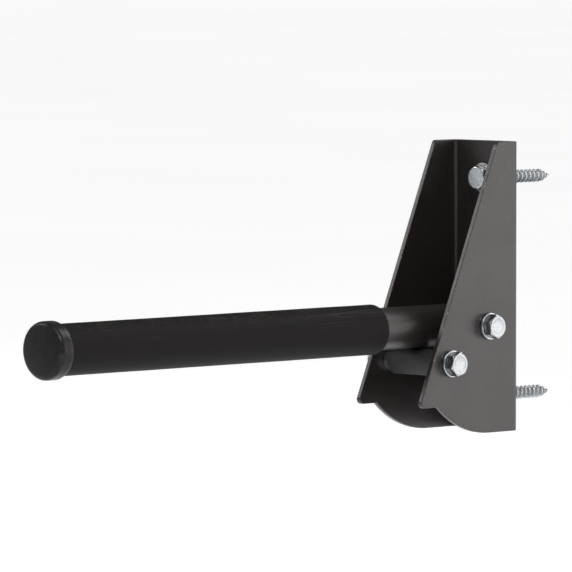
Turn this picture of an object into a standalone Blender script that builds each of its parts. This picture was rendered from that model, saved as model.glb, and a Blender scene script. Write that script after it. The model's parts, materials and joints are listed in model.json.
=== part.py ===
"""Wall-mounted bike rack: a folded steel channel with one arm that folds up into it.

Metres, +Z up. The wall is the plane Y = 0 and the arm points out along -Y.
The origin is on the wall face, level with the arm, midway between the side plates.
"""
import math

import bmesh
import bpy
from mathutils import Matrix, Vector

GAP = 0.0003              # left between pieces that touch
CUT_MARGIN = 0.002        # how far a cutting shape runs past what it cuts

# Facets
SIDES = 48                # round a large piece
SMALL_SIDES = 28          # round a small piece
ROUND_STEPS = 4           # along a small rounding
BEND_STEPS = 6            # along a fold of the sheet
BELLY_STEPS = 18          # along the channel's lower edge

# Screws into the wall stud
LAG_SHANK = 0.008
LAG_LENGTH = 0.060
LAG_POINT = 0.009
LAG_WASHER_RIM = 0.0015   # washer past the corners of the head
LAG_TOP_MARGIN = 0.0225   # upper screw below the channel's top edge
LAG_BOTTOM_MARGIN = 0.020  # lower screw above the channel's bottom edge

# Cross bolts, the same size for the hinge and the stop
BOLT_SHANK = 0.008
BOLT_TIP = 0.0025         # past the lock nut
BOLT_CHAMFER = 0.0008     # at the end of the shank
HEX_FLATS = 0.013
HEX_HEIGHT = 0.0053
HEX_CHAMFER = 0.0009
NUT_HEIGHT = 0.008
NUT_COLLAR = 0.0022       # round end of the lock nut that holds its nylon ring
NUT_ROUND = 0.0009        # rounding of that end
WASHER_RIM = 0.0005       # washer past the corners of the head
WASHER_THICKNESS = 0.0016

# Arm
TUBE_OUTER = 0.0254
TUBE_WALL = 0.002
ARM_REACH = 0.371         # wall to the face of the end cap
ROOT_MARGIN = 0.008       # tube behind the hinge barrel
SLEEVE_START = 0.100      # inner end of the sleeve, from the wall
SLEEVE_WALL = 0.002
SLEEVE_ROUND = 0.001      # rounding of the sleeve's ends

# End cap and root plug
CAP_RIM = 0.002           # cap past the sleeve
CAP_LENGTH = 0.0115       # head of the cap, with its dome
CAP_DOME = 0.0015
CAP_ROUND = 0.003
CAP_PLUG = 0.026          # part inside the tube
CAP_RIB = 0.001           # rib height on the plug
CAP_RIBS = 3
ROOT_PLUG_HEAD = 0.0022
ROOT_PLUG_STEM = 0.005

# Hinge
FOLD_CLEARANCE = 0.0015   # folded arm to the heads of the wall screws
BUSH_WALL = 0.0014
BUSH_FLANGE = 0.0015
BUSH_LENGTH = 0.012
BARREL_WALL = 0.002
WELD_RADIUS = 0.0016
WELD_POINTS = 36

# Stop
STOP_SPACING = 0.033      # stop bolt in front of the hinge bolt
SPACER_WALL = 0.0017
BUMPER_WALL = 0.0017
BUMPER_INSET = 0.005      # end of the rubber to the side plate
BUMPER_ROUND = 0.0008

# Wall channel, folded from one sheet
SHEET = 0.003
CHANNEL_WIDTH = 0.054     # over the outside of both side plates
FOLD_INSIDE = 0.0025      # radius inside the fold
CHANNEL_TOP = 0.110       # above the arm's centre line
TOP_DEPTH = 0.020         # side plate at the top, from the wall
TOP_CORNER = 0.003        # rounding of the top front corner
LIP_DEPTH = 0.087         # side plate at its lower front corner, before it is rounded
LIP_DROP = 0.0465         # lower front corner below the arm's centre line
LIP_CORNER = 0.003        # rounding of that corner
BELLY_RADIUS = 0.064      # lower edge, an arc about the hinge bolt
EDGE_BREAK = 0.0004       # the sheet's deburred edge

# Radii and places worked out from the sizes
HALF_WIDTH = CHANNEL_WIDTH / 2
INNER_HALF = HALF_WIDTH - SHEET
HEX_CORNER = HEX_FLATS / 2 / math.cos(math.radians(30))
HEX_FACE = HEX_FLATS / 2 * 0.95
BOLT_RADIUS = BOLT_SHANK / 2
BOLT_HOLE = BOLT_RADIUS + GAP
TUBE_RADIUS = TUBE_OUTER / 2
TUBE_BORE = TUBE_RADIUS - TUBE_WALL
SLEEVE_BORE = TUBE_RADIUS + GAP
SLEEVE_RADIUS = SLEEVE_BORE + SLEEVE_WALL
CAP_RADIUS = SLEEVE_RADIUS + CAP_RIM
BUSH_RADIUS = BOLT_HOLE + BUSH_WALL
BARREL_BORE = BUSH_RADIUS + GAP
BARREL_RADIUS = BARREL_BORE + BARREL_WALL
SPACER_RADIUS = BOLT_HOLE + SPACER_WALL
BUMPER_BORE = SPACER_RADIUS + GAP
BUMPER_RADIUS = BUMPER_BORE + BUMPER_WALL

LAG_HEIGHTS = {
    "upper": CHANNEL_TOP - LAG_TOP_MARGIN,
    "lower": LAG_BOTTOM_MARGIN - BELLY_RADIUS,
}
LAG_WASHER_SEAT = SHEET + GAP
LAG_HEAD_SEAT = LAG_WASHER_SEAT + WASHER_THICKNESS + GAP
PIVOT_DEPTH = LAG_HEAD_SEAT + HEX_HEIGHT + FOLD_CLEARANCE + SLEEVE_RADIUS
STOP_DROP = TUBE_RADIUS + GAP + BUMPER_RADIUS
PIVOT = Vector((0, -PIVOT_DEPTH, 0))
STOP = Vector((0, -PIVOT_DEPTH - STOP_SPACING, -STOP_DROP))

# Along the arm, measured from the hinge bolt
ROOT_END = -BARREL_RADIUS - ROOT_MARGIN
CAP_START = ARM_REACH - PIVOT_DEPTH - CAP_LENGTH
TUBE_END = CAP_START - GAP

# A turned piece's own +Z is laid along one of these
TOWARD_RIGHT = (0, math.radians(90), 0)
TOWARD_LEFT = (0, math.radians(-90), 0)
TOWARD_ROOM = (math.radians(90), 0, 0)


# Modelling helpers

def clear_scene():
    for obj in list(bpy.data.objects):
        bpy.data.objects.remove(obj, do_unlink=True)


def new_collection(name):
    collection = bpy.data.collections.new(name)
    bpy.context.scene.collection.children.link(collection)
    return collection


def add_piece(name, data, location=(0, 0, 0), rotation=(0, 0, 0), parent=None):
    """Put a mesh or curve in the model as one named piece."""
    piece = bpy.data.objects.new(name, data)
    piece.location = location
    piece.rotation_euler = rotation
    piece.parent = parent
    RACK.objects.link(piece)
    return piece


def add_cutter(name, mesh, location=(0, 0, 0), rotation=(0, 0, 0), parent=None):
    """Put a cutting shape beside the model, where it is only a guide."""
    cutter = add_piece(name, mesh, location, rotation, parent)
    RACK.objects.unlink(cutter)
    CUTTERS.objects.link(cutter)
    cutter.hide_render = True
    cutter.display_type = "WIRE"
    return cutter


def combine(piece, cutter, operation):
    modifier = piece.modifiers.new(cutter.name, "BOOLEAN")
    modifier.operation = operation
    modifier.object = cutter
    modifier.solver = "EXACT"


def break_edges(piece, width):
    modifier = piece.modifiers.new("broken edges", "BEVEL")
    modifier.width = width
    modifier.segments = 2
    modifier.limit_method = "ANGLE"
    modifier.angle_limit = math.radians(50)


def prism_mesh(name, radius, low, high, sides):
    """A closed upright prism between two heights."""
    mesh = bpy.data.meshes.new(name)
    shape = bmesh.new()
    bmesh.ops.create_cone(
        shape, cap_ends=True, segments=sides, radius1=radius, radius2=radius, depth=high - low)
    bmesh.ops.translate(shape, verts=shape.verts, vec=(0, 0, (high + low) / 2))
    shape.to_mesh(mesh)
    shape.free()
    return mesh


def drill(piece, name, radius, length, location, rotation):
    """Cut a round hole, centred on a place, through a piece."""
    mesh = prism_mesh(name, radius, -length / 2, length / 2, SMALL_SIDES)
    combine(piece, add_cutter(name, mesh, location, rotation), "DIFFERENCE")


def arc(centre, radius, start, end, steps):
    """Points on an arc in a flat outline, angles in degrees."""
    points = []
    for step in range(steps + 1):
        angle = math.radians(start + (end - start) * step / steps)
        points.append((centre[0] + radius * math.cos(angle), centre[1] + radius * math.sin(angle)))
    return points


def rounded_corner(before, corner, after, radius):
    """Points that round one corner of an outline."""
    corner = Vector(corner)
    to_before = (Vector(before) - corner).normalized()
    to_after = (Vector(after) - corner).normalized()
    half = to_before.angle(to_after) / 2
    centre = corner + (to_before + to_after).normalized() * radius / math.sin(half)
    start = corner + to_before * radius / math.tan(half) - centre
    end = corner + to_after * radius / math.tan(half) - centre
    turn = -start.angle_signed(end) / ROUND_STEPS
    return [tuple(centre + Matrix.Rotation(turn * step, 2) @ start) for step in range(ROUND_STEPS + 1)]


def flat_solid(name, outline, thickness):
    """The closed mesh of a flat outline, given a thickness each side of its plane."""
    curve = bpy.data.curves.new(name, "CURVE")
    curve.dimensions = "2D"
    curve.fill_mode = "BOTH"
    curve.extrude = thickness / 2
    spline = curve.splines.new("POLY")
    spline.points.add(len(outline) - 1)
    for point, (x, y) in zip(spline.points, outline):
        point.co = (x, y, 0, 1)
    spline.use_cyclic_u = True

    drawn = add_piece(name, curve)
    mesh = evaluated_mesh(drawn)
    bpy.data.objects.remove(drawn)
    shape = bmesh.new()
    shape.from_mesh(mesh)
    bmesh.ops.remove_doubles(shape, verts=shape.verts, dist=0.00001)
    bmesh.ops.recalc_face_normals(shape, faces=shape.faces)
    shape.to_mesh(mesh)
    shape.free()
    return mesh


def turned(name, profile, sides, ring=False, **placing):
    """A piece turned about its own Z from (radius, height) points.

    The profile runs down the outer side, and a ring closes it round a bore.
    """
    count = len(profile)
    edges = [(index, index + 1) for index in range(count - 1)]
    if ring:
        edges.append((count - 1, 0))
    mesh = bpy.data.meshes.new(name)
    mesh.from_pydata([(radius, 0, height) for radius, height in profile], edges, [])
    piece = add_piece(name, mesh, **placing)
    screw = piece.modifiers.new("turning", "SCREW")
    screw.steps = sides
    screw.render_steps = sides
    screw.use_merge_vertices = True
    screw.merge_threshold = 0.00001
    return piece


def ring_profile(outer, bore, low, high):
    return [(outer, high), (outer, low), (bore, low), (bore, high)]


def rounded_ring_profile(outer, bore, low, high, rounding):
    """A ring with its outer edges rounded."""
    top = arc((outer - rounding, high - rounding), rounding, 90, 0, ROUND_STEPS)
    bottom = arc((outer - rounding, low + rounding), rounding, 0, -90, ROUND_STEPS)
    return top + bottom + [(bore, low), (bore, high)]


def evaluated_mesh(piece):
    bpy.context.view_layer.update()
    evaluated = piece.evaluated_get(bpy.context.evaluated_depsgraph_get())
    return bpy.data.meshes.new_from_object(evaluated)


# Fasteners

def hex_cut(name, profile, ring=False, **placing):
    """A turned blank cut by a hexagonal prism.

    The blank's corners are already chamfered, so the cut leaves the curved edges of a real
    head. The shank and the nut's collar are thinner than the hexagon and stay round.
    """
    blank = turned(name, profile, SMALL_SIDES, ring=ring, **placing)
    heights = [height for _, height in profile]
    blade = prism_mesh(f"{name} hexagon", HEX_CORNER, min(heights) - CUT_MARGIN, max(heights) + CUT_MARGIN, 6)
    combine(blank, add_cutter(blade.name, blade, parent=blank), "INTERSECT")
    return blank


def head_profile():
    """The side of a hexagon head's blank, standing on height 0."""
    blank = HEX_CORNER + HEX_CHAMFER
    return [(0, HEX_HEIGHT), (HEX_FACE, HEX_HEIGHT), (blank, HEX_HEIGHT - 2 * HEX_CHAMFER), (blank, 0)]


def nut_profile():
    """The side of a lock nut's blank, with the round collar at its outer end."""
    blank = HEX_CORNER + HEX_CHAMFER
    hex_top = NUT_HEIGHT - NUT_COLLAR
    return [
        (BOLT_HOLE, NUT_HEIGHT),
        (HEX_FACE - NUT_ROUND, NUT_HEIGHT),
        (HEX_FACE, NUT_HEIGHT - NUT_ROUND),
        (HEX_FACE, hex_top),
        (blank, hex_top - 2 * HEX_CHAMFER),
        (blank, 2 * HEX_CHAMFER),
        (HEX_FACE, 0),
        (BOLT_HOLE, 0),
    ]


def cross_bolt(name, place):
    """A bolt through both side plates from the right, with washers and a lock nut."""
    washer_seat = HALF_WIDTH + GAP
    head_seat = washer_seat + WASHER_THICKNESS + GAP
    end = -2 * head_seat - NUT_HEIGHT - BOLT_TIP
    bolt = head_profile() + [
        (BOLT_RADIUS, 0),
        (BOLT_RADIUS, end + BOLT_CHAMFER),
        (BOLT_RADIUS - BOLT_CHAMFER, end),
        (0, end),
    ]
    right = Vector((1, 0, 0))
    hex_cut(f"{name}_bolt", bolt, location=place + right * head_seat, rotation=TOWARD_RIGHT)
    hex_cut(f"{name}_lock_nut", nut_profile(), ring=True,
            location=place - right * head_seat, rotation=TOWARD_LEFT)
    washer = ring_profile(HEX_CORNER + WASHER_RIM, BOLT_HOLE, 0, WASHER_THICKNESS)
    turned(f"{name}_head_washer", washer, SMALL_SIDES, ring=True,
           location=place + right * washer_seat, rotation=TOWARD_RIGHT)
    turned(f"{name}_nut_washer", washer, SMALL_SIDES, ring=True,
           location=place - right * washer_seat, rotation=TOWARD_LEFT)


def lag_screw(name, height):
    """A screw through the channel's back into the stud, with its washer."""
    shank = LAG_SHANK / 2
    screw = head_profile() + [(shank, 0), (shank, LAG_POINT - LAG_LENGTH), (0, -LAG_LENGTH)]
    hex_cut(f"{name}_lag_screw", screw, location=(0, -LAG_HEAD_SEAT, height), rotation=TOWARD_ROOM)
    washer = ring_profile(HEX_CORNER + LAG_WASHER_RIM, shank + GAP, 0, WASHER_THICKNESS)
    turned(f"{name}_lag_washer", washer, SMALL_SIDES, ring=True,
           location=(0, -LAG_WASHER_SEAT, height), rotation=TOWARD_ROOM)


# Wall channel

def channel_section():
    """The folded sheet seen from above: its back on the wall, its side plates toward the room."""
    front = -LIP_DEPTH - CUT_MARGIN
    fold_outside = FOLD_INSIDE + SHEET
    fold_centre = (HALF_WIDTH - fold_outside, -fold_outside)
    outside = [(HALF_WIDTH, front)] + arc(fold_centre, fold_outside, 0, 90, BEND_STEPS)
    inside = arc(fold_centre, FOLD_INSIDE, 90, 0, BEND_STEPS) + [(INNER_HALF, front)]
    left_outside = [(-x, y) for x, y in reversed(outside)]
    left_inside = [(-x, y) for x, y in reversed(inside)]
    return outside + left_outside + left_inside + inside


def side_outline():
    """A side plate as (y, z) points: sloping front edge, lower lip and round belly."""
    top_back = (CUT_MARGIN, CHANNEL_TOP)
    top_front = (-TOP_DEPTH, CHANNEL_TOP)
    lip = (-LIP_DEPTH, -LIP_DROP)
    belly_angle = math.degrees(math.asin(LIP_DROP / BELLY_RADIUS))
    belly = arc((-PIVOT_DEPTH, 0), BELLY_RADIUS, 180 + belly_angle, 270, BELLY_STEPS)
    outline = [top_back]
    outline += rounded_corner(top_back, top_front, lip, TOP_CORNER)
    outline += rounded_corner(top_front, lip, belly[0], LIP_CORNER)
    outline += belly
    outline.append((CUT_MARGIN, -BELLY_RADIUS))
    return outline


def wall_channel():
    height = CHANNEL_TOP + BELLY_RADIUS + 2 * CUT_MARGIN
    section = flat_solid("wall_channel", channel_section(), height)
    section.transform(Matrix.Translation((0, 0, (CHANNEL_TOP - BELLY_RADIUS) / 2)))
    channel = add_piece("wall_channel", section)

    across = CHANNEL_WIDTH + 2 * CUT_MARGIN
    side = flat_solid("side outline", side_outline(), across)
    stand_up = Matrix(((0, 0, 1, 0), (1, 0, 0, 0), (0, 1, 0, 0), (0, 0, 0, 1)))
    side.transform(stand_up)
    combine(channel, add_cutter("side outline", side), "INTERSECT")

    drill(channel, "hinge hole", BOLT_HOLE, across, PIVOT, TOWARD_RIGHT)
    drill(channel, "stop hole", BOLT_HOLE, across, STOP, TOWARD_RIGHT)
    for name, height in LAG_HEIGHTS.items():
        drill(channel, f"{name} lag hole", LAG_SHANK / 2 + GAP, 4 * SHEET, (0, 0, height), TOWARD_ROOM)
    break_edges(channel, EDGE_BREAK)


# Hinge

def hinge_pieces(hinge):
    """The barrel welded through the arm, with a nylon bush in each end."""
    flange_outside = INNER_HALF - GAP
    flange_inside = flange_outside - BUSH_FLANGE
    barrel_half = flange_inside - GAP
    barrel = ring_profile(BARREL_RADIUS, BARREL_BORE, -barrel_half, barrel_half)
    turned("hinge_barrel", barrel, SIDES, ring=True, rotation=TOWARD_RIGHT, parent=hinge)

    bush_end = flange_outside - BUSH_LENGTH
    bush = [
        (BARREL_RADIUS, flange_outside),
        (BARREL_RADIUS, flange_inside),
        (BUSH_RADIUS, flange_inside),
        (BUSH_RADIUS, bush_end),
        (BOLT_HOLE, bush_end),
        (BOLT_HOLE, flange_outside),
    ]
    for side, rotation in (("right", TOWARD_RIGHT), ("left", TOWARD_LEFT)):
        turned(f"hinge_bush_{side}", bush, SIDES, ring=True, rotation=rotation, parent=hinge)


def weld_bead(name, sign, hinge):
    """A fillet weld round the barrel, on the saddle where it leaves the tube."""
    stand_off = WELD_RADIUS + GAP
    round_barrel = BARREL_RADIUS + stand_off
    round_tube = TUBE_RADIUS + stand_off
    curve = bpy.data.curves.new(name, "CURVE")
    curve.dimensions = "3D"
    curve.bevel_depth = WELD_RADIUS
    curve.bevel_resolution = 2
    spline = curve.splines.new("POLY")
    spline.points.add(WELD_POINTS - 1)
    for step, point in enumerate(spline.points):
        angle = math.tau * step / WELD_POINTS
        y = round_barrel * math.cos(angle)
        z = round_barrel * math.sin(angle)
        x = math.sqrt(round_tube ** 2 - z ** 2)
        point.co = (sign * x, y, z, 1)
    spline.use_cyclic_u = True
    add_piece(name, curve, parent=hinge)


# Arm

def arm_pieces(hinge):
    placing = {"rotation": TOWARD_ROOM, "parent": hinge}
    tube = turned("arm_tube", ring_profile(TUBE_RADIUS, TUBE_BORE, ROOT_END, TUBE_END),
                  SIDES, ring=True, **placing)
    drill(tube, "barrel hole", BARREL_RADIUS + GAP, TUBE_OUTER + 2 * CUT_MARGIN, PIVOT, TOWARD_RIGHT)

    sleeve = rounded_ring_profile(
        SLEEVE_RADIUS, SLEEVE_BORE, SLEEVE_START - PIVOT_DEPTH, TUBE_END, SLEEVE_ROUND)
    turned("arm_sleeve", sleeve, SIDES, ring=True, **placing)
    turned("end_cap", end_cap_profile(), SIDES, **placing)
    turned("root_plug", root_plug_profile(), SIDES, **placing)


def end_cap_profile():
    """A low domed head over the end of the sleeve and a ribbed plug inside the tube."""
    shoulder = CAP_START + CAP_LENGTH - CAP_DOME
    flat = CAP_RADIUS - CAP_ROUND
    dome_radius = (flat ** 2 + CAP_DOME ** 2) / (2 * CAP_DOME)
    dome_edge = math.degrees(math.acos(flat / dome_radius))
    dome_centre = (0, shoulder + CAP_DOME - dome_radius)
    profile = arc(dome_centre, dome_radius, 90, dome_edge, ROUND_STEPS)
    profile += arc((flat, shoulder - CAP_ROUND), CAP_ROUND, 90, 0, ROUND_STEPS)[1:]
    profile += [(CAP_RADIUS, CAP_START + SLEEVE_ROUND), (CAP_RADIUS - SLEEVE_ROUND, CAP_START)]

    rib_tip = TUBE_BORE - GAP
    core = rib_tip - CAP_RIB
    spacing = CAP_PLUG / CAP_RIBS
    profile.append((core, CAP_START))
    for rib in range(CAP_RIBS):
        step = CAP_START - (rib + 1 / 3) * spacing
        profile += [(core, step), (rib_tip, step), (core, step - spacing / 2)]
    profile += [(core, CAP_START - CAP_PLUG), (0, CAP_START - CAP_PLUG)]
    return profile


def root_plug_profile():
    """A push-in plug that closes the tube behind the hinge barrel."""
    stem = TUBE_BORE - GAP
    head = ROOT_END - GAP
    edge = ROOT_PLUG_HEAD / 2
    return [
        (0, head + ROOT_PLUG_STEM),
        (stem, head + ROOT_PLUG_STEM),
        (stem, head),
        (TUBE_RADIUS, head),
        (TUBE_RADIUS, head - edge),
        (TUBE_RADIUS - edge, head - ROOT_PLUG_HEAD),
        (0, head - ROOT_PLUG_HEAD),
    ]


# Stop

def stop_pieces():
    """A steel spacer between the side plates, in the rubber that the arm lands on."""
    half = INNER_HALF - GAP
    spacer = ring_profile(SPACER_RADIUS, BOLT_HOLE, -half, half)
    turned("stop_spacer", spacer, SMALL_SIDES, ring=True, location=STOP, rotation=TOWARD_RIGHT)
    half = INNER_HALF - BUMPER_INSET
    bumper = rounded_ring_profile(BUMPER_RADIUS, BUMPER_BORE, -half, half, BUMPER_ROUND)
    turned("stop_bumper", bumper, SIDES, ring=True, location=STOP, rotation=TOWARD_RIGHT)


# Finishes, each with its colour, roughness and metallic value

FINISHES = {
    "black powder coat": ((0.013, 0.013, 0.014), 0.36, 0.0),
    "zinc plate": ((0.62, 0.63, 0.64), 0.32, 1.0),
    "natural nylon": ((0.72, 0.70, 0.64), 0.45, 0.0),
    "black rubber": ((0.022, 0.022, 0.023), 0.62, 0.0),
    "moulded black plastic": ((0.017, 0.017, 0.019), 0.42, 0.0),
}

FINISH_WORDS = {
    "channel": "black powder coat",
    "tube": "black powder coat",
    "barrel": "black powder coat",
    "bead": "black powder coat",
    "screw": "zinc plate",
    "washer": "zinc plate",
    "bolt": "zinc plate",
    "nut": "zinc plate",
    "spacer": "zinc plate",
    "bush": "natural nylon",
    "sleeve": "black rubber",
    "bumper": "black rubber",
    "cap": "moulded black plastic",
    "plug": "moulded black plastic",
}


def new_material(name, finish):
    colour, roughness, metallic = FINISHES[finish]
    material = bpy.data.materials.new(name)
    material.use_nodes = True
    material.diffuse_color = (*colour, 1)
    shader = material.node_tree.nodes["Principled BSDF"]
    shader.inputs["Base Color"].default_value = (*colour, 1)
    shader.inputs["Roughness"].default_value = roughness
    shader.inputs["Metallic"].default_value = metallic
    return material


def shade(piece):
    """Smooth shading over the rounds, with flat faces kept flat and sharp edges kept sharp."""
    piece.data = evaluated_mesh(piece)
    piece.modifiers.clear()
    piece.data.shade_smooth()
    piece.data.set_sharp_from_angle(angle=math.radians(35))
    weighted = piece.modifiers.new("flat faces", "WEIGHTED_NORMAL")
    weighted.keep_sharp = True


def finish_pieces():
    """Give each piece its shading and its own material."""
    for piece in list(RACK.objects):
        if piece.type == "EMPTY":
            continue
        if piece.type == "MESH":
            shade(piece)
        finish = next(FINISH_WORDS[word] for word in piece.name.split("_") if word in FINISH_WORDS)
        piece.data.materials.clear()
        piece.data.materials.append(new_material(piece.name, finish))


clear_scene()
RACK = new_collection("wall bike rack")
CUTTERS = new_collection("cutters")

wall_channel()
for screw_name, screw_height in LAG_HEIGHTS.items():
    lag_screw(screw_name, screw_height)
cross_bolt("hinge", PIVOT)
cross_bolt("stop", STOP)
stop_pieces()

arm_hinge = bpy.data.objects.new("arm hinge", None)
arm_hinge.location = PIVOT
arm_hinge.empty_display_size = HALF_WIDTH
RACK.objects.link(arm_hinge)
arm_pieces(arm_hinge)
hinge_pieces(arm_hinge)
for weld_name, weld_side in (("weld_bead_right", 1), ("weld_bead_left", -1)):
    weld_bead(weld_name, weld_side, arm_hinge)
finish_pieces()
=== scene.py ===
# %% [markdown]
# # A wall-mounted bike rack
#
# The rack is a folded steel channel that is screwed to a stud, and one round arm that stands out from it.
# The arm turns on a cross bolt, and folds up flat between the channel's two side plates. The packed model
# already holds every piece at its true size and place. Here each piece is made again, finer, and gets the
# finish that it has in the photograph. Pieces could be moved by hand until they look right, but the packed
# frame says exactly where each one belongs, so every size below starts from it and the hinge keeps working.

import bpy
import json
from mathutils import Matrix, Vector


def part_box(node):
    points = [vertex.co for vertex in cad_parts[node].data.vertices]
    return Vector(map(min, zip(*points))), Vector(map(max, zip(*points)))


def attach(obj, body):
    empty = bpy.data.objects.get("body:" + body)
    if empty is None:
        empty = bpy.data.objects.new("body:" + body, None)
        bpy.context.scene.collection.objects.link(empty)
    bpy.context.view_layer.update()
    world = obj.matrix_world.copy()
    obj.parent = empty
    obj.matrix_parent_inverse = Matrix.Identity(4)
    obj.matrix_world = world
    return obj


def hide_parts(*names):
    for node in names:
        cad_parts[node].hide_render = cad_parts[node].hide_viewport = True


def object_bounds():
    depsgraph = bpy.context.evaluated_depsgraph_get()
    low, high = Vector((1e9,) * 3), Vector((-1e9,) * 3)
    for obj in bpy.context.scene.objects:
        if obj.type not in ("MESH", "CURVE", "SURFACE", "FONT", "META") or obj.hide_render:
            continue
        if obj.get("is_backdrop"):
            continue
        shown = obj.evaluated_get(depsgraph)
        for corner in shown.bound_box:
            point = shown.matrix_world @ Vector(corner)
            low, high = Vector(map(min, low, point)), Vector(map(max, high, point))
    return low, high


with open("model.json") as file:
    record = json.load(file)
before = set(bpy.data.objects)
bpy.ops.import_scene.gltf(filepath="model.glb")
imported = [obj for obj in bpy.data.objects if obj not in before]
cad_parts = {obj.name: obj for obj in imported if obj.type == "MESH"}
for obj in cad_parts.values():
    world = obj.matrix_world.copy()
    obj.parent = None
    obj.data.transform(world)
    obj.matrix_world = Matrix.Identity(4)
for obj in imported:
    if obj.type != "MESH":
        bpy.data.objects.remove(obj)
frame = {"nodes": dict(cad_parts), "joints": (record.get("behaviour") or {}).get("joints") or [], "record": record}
CAD_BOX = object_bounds()
RECORD = frame["record"]
HINGE = frame["joints"][0]
print("pieces in the frame:", len(frame["nodes"]))
print("the hinge", HINGE["name"], "turns through", HINGE["range_deg"], "degrees")

# %% Tools and units
import json
import math

import bmesh
import bpy
from mathutils import Matrix, Vector, noise
from mathutils.geometry import delaunay_2d_cdt
from mathutils.kdtree import KDTree

MM = 0.001
BODY_OF = {node: body for body, nodes in RECORD["behaviour"]["bodies"].items() for node in nodes}
SLOT_OF = {part["node"]: part["material_slot"] for part in RECORD["subparts"]}
PIVOT = Vector(HINGE["pos_m"])
print("the hinge's cross bolt stands", round(-PIVOT.y / MM, 1), "mm in front of the channel's back")

# %% [markdown]
# ## The camera
#
# The photograph was taken from the right of the arm and from a little above it, about four metres away. A
# camera that is moved closer would change how deep the rack looks. So this one stays where the photograph
# was taken, turns until the rack is in the middle, and takes a longer lens until it fills the frame.

# %% Stand where the photograph was taken
CAMERA_SPOT = Vector((2.93, -3.12, 0.27))
FRAME_FILL = 0.92
SENSOR = 36.0


def slopes(turn, points):
    """How far right and up each point is seen, for each metre straight ahead."""
    seen = [turn.inverted() @ (point - CAMERA_SPOT) for point in points]
    return [point.x / -point.z for point in seen], [point.y / -point.z for point in seen]


rack_points = [vertex.co.copy() for node in frame["nodes"].values() for vertex in node.data.vertices]
aim = (CAD_BOX[0] + CAD_BOX[1]) / 2
for _ in range(4):
    turn = (aim - CAMERA_SPOT).to_track_quat("-Z", "Y")
    across, up = slopes(turn, rack_points)
    centre = Vector((min(across) + max(across), min(up) + max(up), -2)) / 2
    aim = CAMERA_SPOT + turn @ centre * (aim - CAMERA_SPOT).length

# %% Choose the lens
camera = bpy.data.objects.new("camera", bpy.data.cameras.new("camera"))
bpy.context.scene.collection.objects.link(camera)
bpy.context.scene.camera = camera
camera.location = CAMERA_SPOT
camera.rotation_euler = turn.to_euler()
widest = max(max(across) - min(across), max(up) - min(up))
camera.data.sensor_width = SENSOR
camera.data.lens = SENSOR * FRAME_FILL / widest
camera.data.clip_end = 300
print("lens", round(camera.data.lens), "mm, from", round((aim - CAMERA_SPOT).length, 2), "m away")

# %% [markdown]
# ## The studio
#
# Satin black steel shows almost nothing of its own colour. What we read as its shape is what it mirrors, so
# the studio is built for its reflections. The floor is pale, and wide enough to end far behind the rack. The
# sky over it is dim, so the steel stays black, and soft boxes draw the highlights. The key box lights the
# tops and fronts. Each other box stands where one face mirrors it toward the camera: a large side panel turns
# the right plate a warm grey, as in the photograph, the edge box draws the sloping front edges, and the rim
# box draws the light arc on the cap.

# %% A pale floor
FLOOR_LEVEL = -0.32
FLOOR_REACH = 90.0
FLOOR_RINGS = 12
FLOOR_SIDES = 64


def pale_floor():
    """A round floor of rings that grow wider with the distance."""
    shape = bmesh.new()
    inner = [shape.verts.new((0, 0, FLOOR_LEVEL))]
    for ring in range(1, FLOOR_RINGS + 1):
        reach = FLOOR_REACH * (ring / FLOOR_RINGS) ** 3
        angles = [math.tau * step / FLOOR_SIDES for step in range(FLOOR_SIDES)]
        outer = [shape.verts.new((reach * math.cos(a), reach * math.sin(a), FLOOR_LEVEL)) for a in angles]
        for step in range(FLOOR_SIDES):
            following = (step + 1) % FLOOR_SIDES
            near = inner if len(inner) == 1 else [inner[following], inner[step]]
            shape.faces.new([outer[step], outer[following]] + near)
        inner = outer
    mesh = bpy.data.meshes.new("floor")
    shape.to_mesh(mesh)
    shape.free()
    return mesh


floor = bpy.data.objects.new("floor", pale_floor())
bpy.context.scene.collection.objects.link(floor)
floor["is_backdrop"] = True
print("floor faces:", len(floor.data.polygons))

# %% Four soft boxes
LIGHTS = {
    # name: (place, what it looks at, width, height, watts, colour)
    "key box": ((2.0, -1.6, 2.6), (0, -0.15, 0.02), 1.6, 1.2, 48, (1.0, 1.0, 1.0)),
    "edge box": ((-2.2, -1.75, 1.55), (0, -0.06, 0.03), 1.1, 1.1, 19, (1.0, 0.98, 0.98)),
    "rim box": ((0.6, 1.8, 1.8), (0, -0.36, 0.0), 1.3, 1.0, 20, (1.0, 1.0, 1.0)),
    "side panel": ((1.9, 1.9, 0.35), (0, -0.03, 0.02), 2.2, 2.2, 33, (1.0, 0.95, 0.955)),
}


def soft_box(name, place, target, width, height, watts, colour):
    """A rectangular lamp that points at the rack and isn't seen itself."""
    lamp = bpy.data.lights.new(name, "AREA")
    lamp.shape = "RECTANGLE"
    lamp.size = width
    lamp.size_y = height
    lamp.energy = watts
    lamp.color = colour
    box = bpy.data.objects.new(name, lamp)
    box.location = place
    box.rotation_euler = (Vector(target) - Vector(place)).to_track_quat("-Z", "Y").to_euler()
    box.visible_camera = False
    bpy.context.scene.collection.objects.link(box)


for light_name, light_values in LIGHTS.items():
    soft_box(light_name, *light_values)
print("soft boxes:", ", ".join(LIGHTS))

# %% A high sun for the floor and a dim sky
high_sun = bpy.data.lights.new("high sun", "SUN")
high_sun.angle = math.radians(60)
high_sun.energy = 1.0
sun = bpy.data.objects.new("high sun", high_sun)
sun.rotation_euler = (math.radians(28), 0, math.radians(35))
bpy.context.scene.collection.objects.link(sun)

SKY_SEEN = 0.95
SKY_LIGHT = 0.18


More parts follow.
